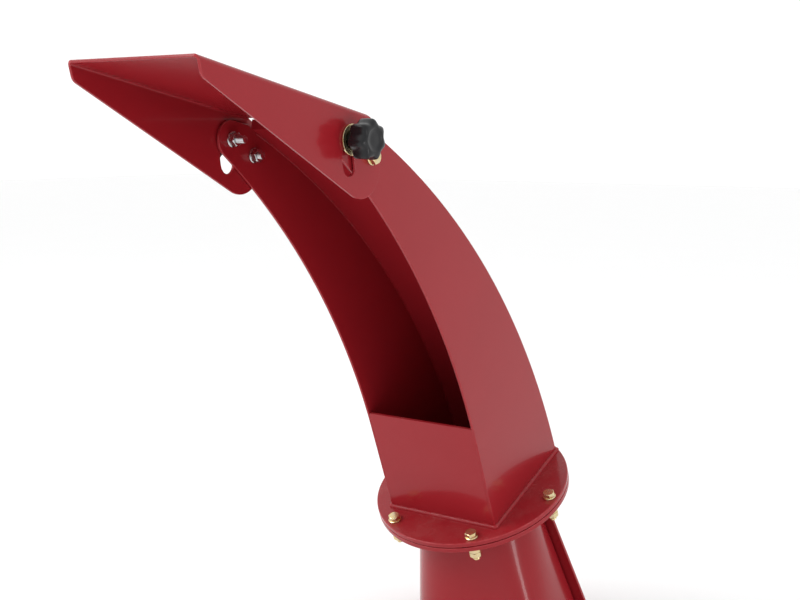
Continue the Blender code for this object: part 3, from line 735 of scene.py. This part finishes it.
def path_mesh(paths):
    """Open or closed point rows joined by edges. A row whose ends meet is closed."""
    points, edges = [], []
    for path in paths:
        row = [Vector(p) for p in path]
        closed = (row[0] - row[-1]).length < 1e-9
        if closed:
            row = row[:-1]
        first = len(points)
        points += row
        edges += [(first + i, first + i + 1) for i in range(len(row) - 1)]
        if closed:
            edges.append((first + len(row) - 1, first))
    mesh = bpy.data.meshes.new("path")
    mesh.from_pydata(points, edges, [])
    return mesh


def weld(name, paths, place, body, radius):
    mesh = run_tree(BEAD, path_mesh(paths), {"Bead Radius": radius, "Finish": RED})
    finish_piece(name, mesh, place, RED, body, [], sharp=80, least=0)


# ---- neck ----

def neck_foot_loop(grow, z, sides=NECK_SIDES):
    """Half round in front, square with tight corners behind, flared with a flat side on the right."""
    left = NECK_RADIUS + grow
    right = NECK_RADIUS + NECK_FLARE + grow
    loop = []
    for i in range(sides):
        angle = math.tau * i / sides
        x, y = math.cos(angle), math.sin(angle)
        if y > 0:
            square = (abs(x) ** NECK_CORNER_POWER + abs(y) ** NECK_CORNER_POWER) ** (1 / NECK_CORNER_POWER)
            x, y = x / square, y / square
        elif x > 0:
            x, y = flat_front(math.tau - angle if angle > 0 else 0)
        loop.append(Vector((x * (right if x > 0 else left), NECK_BACKSET + y * left, z)))
    return loop


def flat_front(ahead):
    """Front right quarter of the foot, for an angle ahead of the centre: a flat, then a round."""
    if ahead < FLAT_LEAD:
        return 1, -FLAT_SHARE * ahead / FLAT_LEAD
    around = (ahead - FLAT_LEAD) / (math.pi / 2 - FLAT_LEAD) * math.pi / 2
    return math.cos(around), -FLAT_SHARE - (1 - FLAT_SHARE) * math.sin(around)


def neck_head_loop(grow, drop, sides=NECK_SIDES):
    return [SWIVEL @ point for point in ring_of_points(NECK_RADIUS + grow, -drop, sides)]


def neck_loops(grow):
    foot = neck_foot_loop(grow, BASE_THICKNESS + GAP)
    head = neck_head_loop(grow, COLLAR_LENGTH + GAP)
    return [[low.lerp(high, i / NECK_STEPS) for low, high in zip(foot, head)] for i in range(NECK_STEPS + 1)]


def neck_shell():
    outer, inner = neck_loops(0), neck_loops(-NECK_WALL)
    finish_piece("neck_transition_shell", loft(outer + inner[::-1], ring=True), WORLD, RED, "neck",
                 ["neck_transition"], sharp=50, least=0)
    profile = [(NECK_RADIUS - NECK_WALL, -COLLAR_LENGTH), (NECK_RADIUS, -COLLAR_LENGTH),
               (NECK_RADIUS, LIP_BOTTOM), (LIP_RADIUS, LIP_BOTTOM), (LIP_RADIUS, LIP_TOP),
               (NECK_RADIUS - NECK_WALL, LIP_TOP)]
    finish_piece("neck_collar_lip", lathe(rounded_profile(profile, LIP_EDGE)), SWIVEL, RED, "neck",
                 ["neck_collar"])
    inset, raised = 0.0007, 0.0006
    seam = neck_head_loop(-inset, COLLAR_LENGTH + GAP / 2, NECK_SIDES // 2)
    foot = neck_foot_loop(raised, BASE_THICKNESS + raised)
    weld("neck_seam_weld", [seam + seam[:1]], WORLD, "neck", SEAM_BEAD)
    weld("neck_foot_weld", [foot + foot[:1]], WORLD, "neck", NECK_FOOT_BEAD)


def rounded_rectangle(x0, x1, y0, y1, radius):
    corners = ((x1, y1, 0), (x0, y1, 90), (x0, y0, 180), (x1, y0, 270))
    loop = []
    for x, y, start in corners:
        centre = (x - math.copysign(radius, x), y - math.copysign(radius, y))
        loop += arc(centre, radius, math.radians(start), math.radians(start + 90), 10)
    return loop


def neck_base():
    x0 = -NECK_RADIUS - BASE_MARGIN
    x1 = NECK_RADIUS + NECK_FLARE + BASE_MARGIN
    y0 = NECK_BACKSET - NECK_RADIUS - BASE_MARGIN
    y1 = NECK_BACKSET + NECK_RADIUS + BASE_MARGIN
    inset = BASE_CORNER + GAP
    holes = [round_hole((x - math.copysign(inset, x), y - math.copysign(inset, y)), BASE_HOLE_RADIUS)
             for x in (x0, x1) for y in (y0, y1)]
    mouth = [(p.x, p.y) for p in neck_foot_loop(-NECK_WALL, 0, NECK_SIDES // 2)]
    mesh = plate([rounded_rectangle(x0, x1, y0, y1, BASE_CORNER), mouth, *holes], 0, BASE_THICKNESS)
    finish_piece("neck_base_flange", mesh, WORLD, RED, "neck", ["neck_base_plate"])


def neck_rib(side):
    """A gusset's solid with its edges rounded."""
    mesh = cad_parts[f"neck_gusset_{side}"].data.copy()
    bm = bmesh.new()
    bm.from_mesh(mesh)
    bmesh.ops.remove_doubles(bm, verts=bm.verts, dist=1e-6)
    bmesh.ops.dissolve_limit(bm, angle_limit=math.radians(1), verts=bm.verts, edges=bm.edges)
    bm.to_mesh(mesh)
    bm.free()
    if "custom_normal" in mesh.attributes:
        mesh.attributes.remove(mesh.attributes["custom_normal"])
    work = linked("rib", mesh)
    round_edges(work, RIB_EDGE, 40, True)
    finish_piece(f"neck_rib_{side}", evaluated_mesh(work), WORLD, RED, "neck", [f"neck_gusset_{side}"])


def neck():
    neck_base()
    neck_shell()
    for side in ("right", "left"):
        neck_rib(side)


# ---- swivel joint ----

def clamp_points():
    return [polar((0, 0), CLAMP_CIRCLE, math.radians(a)) for a in CLAMP_ANGLES]


def clamped_plate(name, corners, edge, node):
    """A turned plate with the holes of the clamp bolts."""
    turned = lathe(rounded_profile(corners, edge))
    mesh = drilled(turned, [tuple(p) for p in clamp_points()], BOLT_RADIUS + GAP)
    finish_piece(name, mesh, SWIVEL, RED, "chute", [node])


def swivel_joint():
    bore, rim, low = FLANGE_BORE_RADIUS, FLANGE_RADIUS, -FLANGE_THICKNESS
    clamped_plate("swivel_flange", [(bore, low), (rim, low), (rim, 0), (bore, 0)], FLANGE_EDGE,
                  "chute_flange")
    bore, seat = NECK_RADIUS + LIP_CLEARANCE, LIP_RADIUS + LIP_CLEARANCE
    top, step = -FLANGE_THICKNESS - RING_GAP, LIP_BOTTOM - GAP
    clamped_plate("swivel_clamp_ring", [(bore, RING_BOTTOM), (rim, RING_BOTTOM), (rim, top), (seat, top),
                                        (seat, step), (bore, step)], RING_EDGE, "clamp_ring")


def fasteners(name, tree, places, finish, nodes, values):
    mesh = run_tree(tree, points_mesh(places), {**values, "Finish": finish})
    finish_piece(name, mesh, SWIVEL, finish, "chute", nodes, sharp=28, least=0)


def clamp_fasteners():
    reach = -RING_BOTTOM + WASHER_THICKNESS + 2 * NUT_HEIGHT + BOLT_TAIL
    tops = [(Vector((*p, GAP)), (0, 0, 1)) for p in clamp_points()]
    lows = [(Vector((*p, RING_BOTTOM - GAP)), (0, 0, -1)) for p in clamp_points()]
    labels = [a % 360 for a in CLAMP_ANGLES]
    bolts = [f"clamp_bolt_{a}" for a in labels]
    nuts = [f"clamp_{kind}_{a}" for kind in ("nut", "jam_nut") for a in labels]
    fasteners("clamp_bolts", BOLTS, tops, YELLOW_ZINC, bolts, {"Reach": reach})
    fasteners("clamp_nuts", NUTS, lows, YELLOW_ZINC, nuts, {"Jam Nut": True})


def on_both_sides(out, point, way=1):
    """The place at a distance out on each side, facing outwards, or inwards where way is -1."""
    return [(Vector((side * out, *point)), (way * side, 0, 0)) for side in (1, -1)]


def hinge_fasteners():
    """Pivot bolts, and lock studs whose outer ends stand in the knobs."""
    def both(kind):
        return [f"{kind}_right", f"{kind}_left"]
    wall, tip = CHEEK_OUTSIDE - WALL_INSIDE, WASHER_THICKNESS + NUT_HEIGHT
    fasteners("pivot_bolts", BOLTS, on_both_sides(CHEEK_OUTSIDE + GAP, PIVOT), YELLOW_ZINC,
              both("pivot_bolt"), {"Reach": wall, "Seed": 7})
    fasteners("pivot_bolt_ends", BOLTS, on_both_sides(WALL_INSIDE, PIVOT), CLEAR_ZINC, [],
              {"Reach": tip + BOLT_TAIL, "Head": False})
    right, left = zip(*(on_both_sides(WALL_INSIDE - GAP, p, -1) for p in (PIVOT, STUD)))
    fasteners("inner_nuts", NUTS, right + left, CLEAR_ZINC,
              ["pivot_nut_right", "lock_nut_right", "pivot_nut_left", "lock_nut_left"], {"Seed": 3})
    fasteners("lock_studs", BOLTS, on_both_sides(CHEEK_OUTSIDE + LOCK_WASHER_THICKNESS, STUD), CLEAR_ZINC,
              both("lock_stud"), {"Reach": wall + LOCK_WASHER_THICKNESS + tip + LOCK_TAIL, "Head": False})


# ---- star knobs ----

KNOB_PROFILE = (                  # height, radius, lobe depth
    (0.0000, 0.0088, 0.0), (0.0003, 0.0096, 0.0), (0.0010, 0.0100, 0.0), (0.0055, 0.0100, 0.0),
    (0.0064, 0.0104, 0.0), (0.0068, 0.0120, 0.0006), (0.0070, 0.0150, 0.0018), (0.0073, 0.0178, 0.0028),
    (0.0082, 0.0192, 0.0032), (0.0096, 0.0197, 0.0032), (0.0150, 0.0200, 0.0032), (0.0200, 0.0199, 0.0032),
    (0.0222, 0.0196, 0.0032), (0.0238, 0.0188, 0.0030), (0.0249, 0.0174, 0.0026), (0.0256, 0.0155, 0.0018),
    (0.0260, 0.0130, 0.0009), (0.0258, 0.0108, 0.0003), (0.0250, 0.0094, 0.0), (0.0249, 0.0060, 0.0),
    (0.0251, 0.0020, 0.0))


def knob_mesh():
    """A lobed knob on a round hub, along Z from z = 0, with a dished centre."""
    sides = KNOB_LOBES * 20
    loops = []
    for z, radius, depth in KNOB_PROFILE:
        loop = []
        for i in range(sides):
            angle = math.tau * i / sides
            scallop = (0.5 - 0.5 * math.cos(KNOB_LOBES * angle)) ** 0.85
            r = radius - depth * scallop
            loop.append((r * math.cos(angle), r * math.sin(angle), z))
        loops.append(loop)
    return loft(loops)


def lock_knobs():
    bore = BOLT_RADIUS + GAP
    profile = [(bore, 0), (LOCK_WASHER_RADIUS, 0), (LOCK_WASHER_RADIUS, LOCK_WASHER_THICKNESS),
               (bore, LOCK_WASHER_THICKNESS)]
    for side, label in ((1, "right"), (-1, "left")):
        turn = Matrix.Rotation(side * math.pi / 2, 4, "Y")
        seat, knob_seat = (SWIVEL @ Matrix.Translation((side * out, *STUD)) @ turn for out in (
            CHEEK_OUTSIDE + GAP, CHEEK_OUTSIDE + LOCK_WASHER_THICKNESS + 2 * GAP))
        finish_piece(f"star_knob_{label}", knob_mesh(), knob_seat, BLACK, "chute", [f"lock_knob_{label}"],
                     least=0)
        washer = lathe(rounded_profile(profile, KNOB_WASHER_EDGE), 96)
        finish_piece(f"knob_washer_{label}", washer, seat, YELLOW_ZINC, "chute", [f"lock_washer_{label}"])


# ---- chute ----

def back_arc_angle(height):
    return math.asin((height - BACK_CENTRE.y) / BACK_RADIUS)


def back_end_angle():
    offset = PIVOT + HOOD_UP * CHUTE_END - BACK_CENTRE
    reach = offset.dot(HOOD_ALONG)
    root = math.sqrt(BACK_RADIUS ** 2 - offset.dot(HOOD_UP) ** 2)
    point = offset - HOOD_ALONG * (reach + root)
    return math.atan2(point.y, point.x)


def back_wall_end():
    return back_end_angle() - BACK_LIP_SETBACK / BACK_RADIUS


def side_wall_outline():
    front_end = (STUD - FRONT_CENTRE).normalized()
    front_angle = math.atan2(front_end.y, front_end.x)
    outline = [Vector((CHUTE_FRONT, GAP))]
    outline += arc(FRONT_CENTRE, FRONT_RADIUS, 0, front_angle, 90)
    top_angle = math.atan2(HOOD_UP.y, HOOD_UP.x)
    outline += arc(STUD, END_RADIUS, front_angle + math.pi, top_angle, 36)[1:]
    outline += arc(BACK_CENTRE, BACK_RADIUS, back_end_angle(), back_arc_angle(GAP), 96)
    return outline


def chute_walls():
    outer = CHUTE_WIDTH / 2
    holes = [round_hole(p, BOLT_RADIUS + GAP) for p in (PIVOT, STUD)]
    for side, label in ((1, "right"), (-1, "left")):
        faces = sorted((side * outer, side * WALL_INSIDE))
        mesh = plate([side_wall_outline(), *holes], *faces)
        mesh.transform(SIDE_PLANE)
        finish_piece(f"chute_wall_{label}", mesh, SWIVEL, RED, "chute", [f"chute_side_{label}"])
    half = WALL_INSIDE - GAP
    start, end = back_arc_angle(GAP), back_wall_end()
    outline = arc(BACK_CENTRE, BACK_RADIUS, start, end, 96)
    inner = arc(BACK_CENTRE, BACK_RADIUS - SHEET, end, start, 96)
    inner[-1] = Vector((inner[-1].x, GAP))
    lip_foot = (outline[-1] - PIVOT).dot(HOOD_UP)
    lip_top = outline[-1] + HOOD_UP * (HOOD_INNER_TOP - BACK_LIP_GAP - lip_foot)
    lip_inner = lip_top + HOOD_ALONG * SHEET
    inner[0] = meet(lip_inner, HOOD_UP, inner[1], inner[0] - inner[1])
    mesh = plate([[*outline, lip_top, lip_inner, *inner]], -half, half)
    mesh.transform(SIDE_PLANE)
    finish_piece("chute_back_sheet", mesh, SWIVEL, RED, "chute", ["chute_back_wall"])
    outline = [(CHUTE_FRONT, GAP), (CHUTE_FRONT + SHEET, GAP), (CHUTE_FRONT + SHEET, PANEL_HEIGHT),
               (CHUTE_FRONT, PANEL_HEIGHT)]
    mesh = plate([outline], -half, half)
    mesh.transform(SIDE_PLANE)
    finish_piece("chute_front_sheet", mesh, SWIVEL, RED, "chute", ["chute_front_panel"])


def chute_welds():
    out, corner_radius, low = 0.0004, 0.0015, 0.004
    x = CHUTE_WIDTH / 2 + out
    corners = rounded_rectangle(-x, x, CHUTE_FRONT - out, CHUTE_BACK + out, corner_radius)
    foot = [(p.x, p.y, out) for p in corners]
    weld("chute_foot_weld", [foot + foot[:1]], SWIVEL, "chute", CHUTE_FOOT_BEAD)
    start, end = back_arc_angle(low), back_wall_end()
    outer, inner = BACK_RADIUS - BEAD_OUTSIDE, BACK_RADIUS - SHEET - BEAD_INSIDE
    heights = (low, 0.06, PANEL_HEIGHT - 0.002)
    beads = []
    for side in (1, -1):
        edge, corner = side * (WALL_INSIDE - GAP / 2), side * (WALL_INSIDE - BEAD_INSIDE)
        beads.append([(edge, *p) for p in arc(BACK_CENTRE, outer, start, end - 0.003, 90)])
        beads.append([(corner, *p) for p in arc(BACK_CENTRE, inner, start, end - 0.008, 90)])
        beads.append([(edge, CHUTE_FRONT + BEAD_OUTSIDE, z) for z in heights])
        beads.append([(corner, CHUTE_FRONT + SHEET + BEAD_INSIDE, z) for z in heights])
    weld("chute_corner_welds", beads, SWIVEL, "chute", CORNER_BEAD)


# ---- deflector ----

def meet(point, direction, other, other_direction):
    across = direction.x * other_direction.y - direction.y * other_direction.x
    gap = other - point
    return point + direction * ((gap.x * other_direction.y - gap.y * other_direction.x) / across)


def cheek_outline():
    """Outline of a cheek below its fold, as (y, z) from the lip's top round to the tail."""
    fold = HOOD_TOP - BEND
    lip_top = Vector((-HOOD_LENGTH, HOOD_TOP))
    lip_low = Vector((-HOOD_LENGTH + HOOD_LIP_RAKE, HOOD_TOP - HOOD_LIP_DEPTH))
    low_direction = Vector((math.cos(CHEEK_SLOPE), -math.sin(CHEEK_SLOPE)))
    back_direction = Vector((-math.sin(CHEEK_BACK_SLOPE), math.cos(CHEEK_BACK_SLOPE)))
    low_point = Vector((-low_direction.y, low_direction.x)) * -CHEEK_DROP
    back_point = Vector((back_direction.y, -back_direction.x)) * CHEEK_BACK
    low_back = meet(low_point, low_direction, back_point, back_direction)
    lip_low = meet(low_point, low_direction, lip_low, lip_top - lip_low)
    tail_top = Vector((-HOOD_TAIL, HOOD_TOP))
    tail_low = meet(back_point, back_direction, Vector((0, HOOD_TOP - TAIL_CHAMFER)), Vector((1, 0)))
    lip_fold = meet(lip_top, lip_low - lip_top, Vector((0, fold)), Vector((1, 0)))
    tail_fold = meet(tail_low, tail_top - tail_low, Vector((0, fold)), Vector((1, 0)))
    return [lip_fold, *fillet(lip_top, lip_low, low_back, LIP_CORNER, 10),
            *fillet(lip_low, low_back, tail_low, CHEEK_CORNER, 24), tail_low, tail_fold]


def slot_outline():
    stud = STUD - PIVOT
    spare = (SLOT_TIP - SLOT_HALF_WIDTH) / SLOT_RADIUS
    start = math.atan2(stud.dot(HOOD_UP), -stud.dot(HOOD_ALONG)) - spare
    end = start + TILT_RANGE + 2 * spare
    outer, inner, half = SLOT_RADIUS + SLOT_HALF_WIDTH, SLOT_RADIUS - SLOT_HALF_WIDTH, SLOT_HALF_WIDTH
    far_end, near_end = polar((0, 0), SLOT_RADIUS, end), polar((0, 0), SLOT_RADIUS, start)
    return (arc((0, 0), outer, start, end, 24) + arc(far_end, half, end, end + math.pi, 12)[1:-1]
            + arc((0, 0), inner, end, start, 24)
            + arc(near_end, half, start + math.pi, start + math.tau, 12)[1:-1])


def cheek_faces(bm, side, outline, holes):
    """Fills one cheek's outer face. Returns its vertices along the outline."""
    x = side * CHEEK_OUTSIDE
    edges, rim = [], []
    for loop in (outline, *holes):
        verts = [bm.verts.new((x, *p)) for p in loop]
        rim = rim or verts
        edges += [bm.edges.new((a, b)) for a, b in zip(verts, verts[1:] + verts[:1])]
    bmesh.ops.triangle_fill(bm, use_beauty=True, edges=edges)
    return rim


def folded_deflector():
    """One folded sheet: two cheeks, two bends and the top, then its thickness and rounded edges."""
    bm = bmesh.new()
    outline = cheek_outline()
    holes = [slot_outline(), round_hole((0, 0), BOLT_RADIUS + HINGE_CLEARANCE, 24)]
    steps = 10
    rows = []
    for side in (1, -1):
        rim = cheek_faces(bm, side, outline, holes)
        rows.append((rim[0], rim[-1]))
        for k in range(1, steps + 1):
            angle = math.pi / 2 * k / steps
            x = side * (CHEEK_OUTSIDE - BEND + BEND * math.cos(angle))
            z = HOOD_TOP - BEND + BEND * math.sin(angle)
            share = math.sin(angle)
            lip = outline[0].x + (-HOOD_LENGTH - outline[0].x) * share
            tail = outline[-1].x + (-HOOD_TAIL - outline[-1].x) * share
            rows.append((bm.verts.new((x, lip, z)), bm.verts.new((x, tail, z))))
    right, left = rows[:steps + 1], rows[steps + 1:]
    for a, b in zip(right + left[::-1], (right + left[::-1])[1:]):
        bm.faces.new((a[0], a[1], b[1], b[0]))
    bmesh.ops.recalc_face_normals(bm, faces=bm.faces)
    bm.faces.ensure_lookup_table()
    top = max(bm.faces, key=lambda f: f.calc_center_median().z)
    if top.normal.z < 0:
        bmesh.ops.reverse_faces(bm, faces=bm.faces)
    mesh = bpy.data.meshes.new("deflector_fold")
    bm.to_mesh(mesh)
    bm.free()
    work = linked("deflector_fold", mesh)
    wall = work.modifiers.new("sheet", "SOLIDIFY")
    wall.thickness = SHEET
    wall.offset = -1
    wall.use_even_offset = True
    round_edges(work, SHEET_EDGE, 55, False)
    finish_piece("deflector_sheet", evaluated_mesh(work), TILT, RED, "deflector", ["deflector_hood"])


# ---- studio ----

CAMERA_PLACE = Vector((0.7722, -1.2686, 0.6331))
CAMERA_FORWARD = Vector((-0.56572, 0.81357, -0.13439))
CAMERA_RIGHT = Vector((0.82095, 0.57100, 0.00090))
CAMERA_LENS = 54.38
DOME_STRENGTH = 1.12
DOME_STRENGTH_RIGHT = 0.86


def camera():
    data = bpy.data.cameras.new("studio_camera")
    data.sensor_width = 36
    data.lens = CAMERA_LENS
    forward = CAMERA_FORWARD.normalized()
    right = (CAMERA_RIGHT - forward * CAMERA_RIGHT.dot(forward)).normalized()
    up = right.cross(forward)
    obj = linked("studio_camera", data)
    obj.matrix_world = Matrix.Translation(CAMERA_PLACE) @ Matrix((right, up, -forward)).transposed().to_4x4()
    bpy.context.scene.camera = obj


def floor():
    mesh = bpy.data.meshes.new("studio_floor")
    reach = 14
    mesh.from_pydata([(-reach, -reach, 0), (reach, -reach, 0), (reach, reach, 0), (-reach, reach, 0)], [],
                     [(0, 1, 2, 3)])
    finish = bpy.data.materials.new("studio_floor")
    finish.use_nodes = True
    tree = finish.node_tree
    shader = tree.nodes["Principled BSDF"]
    place = put(tree, "ShaderNodeTexCoord").outputs["Object"]
    tree.links.new(blend_colour(tree, noise(tree, place, 3.0, 3.0, 0.5), (0.90, 0.90, 0.90, 1),
                                (0.91, 0.91, 0.91, 1)), shader.inputs["Base Color"])
    shader.inputs["Roughness"].default_value = 0.6
    mesh.materials.append(finish)
    linked("studio_floor", mesh)


def softbox(name, place, aim, width, height, power):
    data = bpy.data.lights.new(name, "AREA")
    data.shape = "RECTANGLE"
    data.size, data.size_y = width, height
    data.energy = power
    obj = linked(name, data)
    obj.location = place
    obj.rotation_mode = "QUATERNION"
    obj.rotation_quaternion = (Vector(aim) - Vector(place)).to_track_quat("-Z", "Y")


def studio():
    world = bpy.data.worlds.new("studio_dome")
    bpy.context.scene.world = world
    world.use_nodes = True
    background = world.node_tree.nodes["Background"]
    background.inputs["Color"].default_value = (1, 1, 1, 1)
    tree = world.node_tree
    way = put(tree, "ShaderNodeSeparateXYZ", Vector=put(tree, "ShaderNodeTexCoord").outputs["Generated"])
    shade = spread(tree, way.outputs["X"], 0.15, 0.9, DOME_STRENGTH, DOME_STRENGTH_RIGHT)
    seen = put(tree, "ShaderNodeLightPath").outputs["Is Camera Ray"]
    even = calc(tree, "MAXIMUM", shade, calc(tree, "MULTIPLY", seen, DOME_STRENGTH))
    tree.links.new(even, background.inputs["Strength"])
    softbox("key_softbox", (-1.9, -2.1, 2.3), aim=(0, 0, 0.35), width=1.5, height=1.5, power=40)
    softbox("right_strip", (1.9, -0.2, 0.12), aim=(0, 0, 0.3), width=0.25, height=1.2, power=9)
    bpy.context.scene.view_settings.view_transform = "Standard"


neck()
swivel_joint()
clamp_fasteners()
hinge_fasteners()
lock_knobs()
chute_walls()
chute_welds()
folded_deflector()
camera()
floor()
studio()
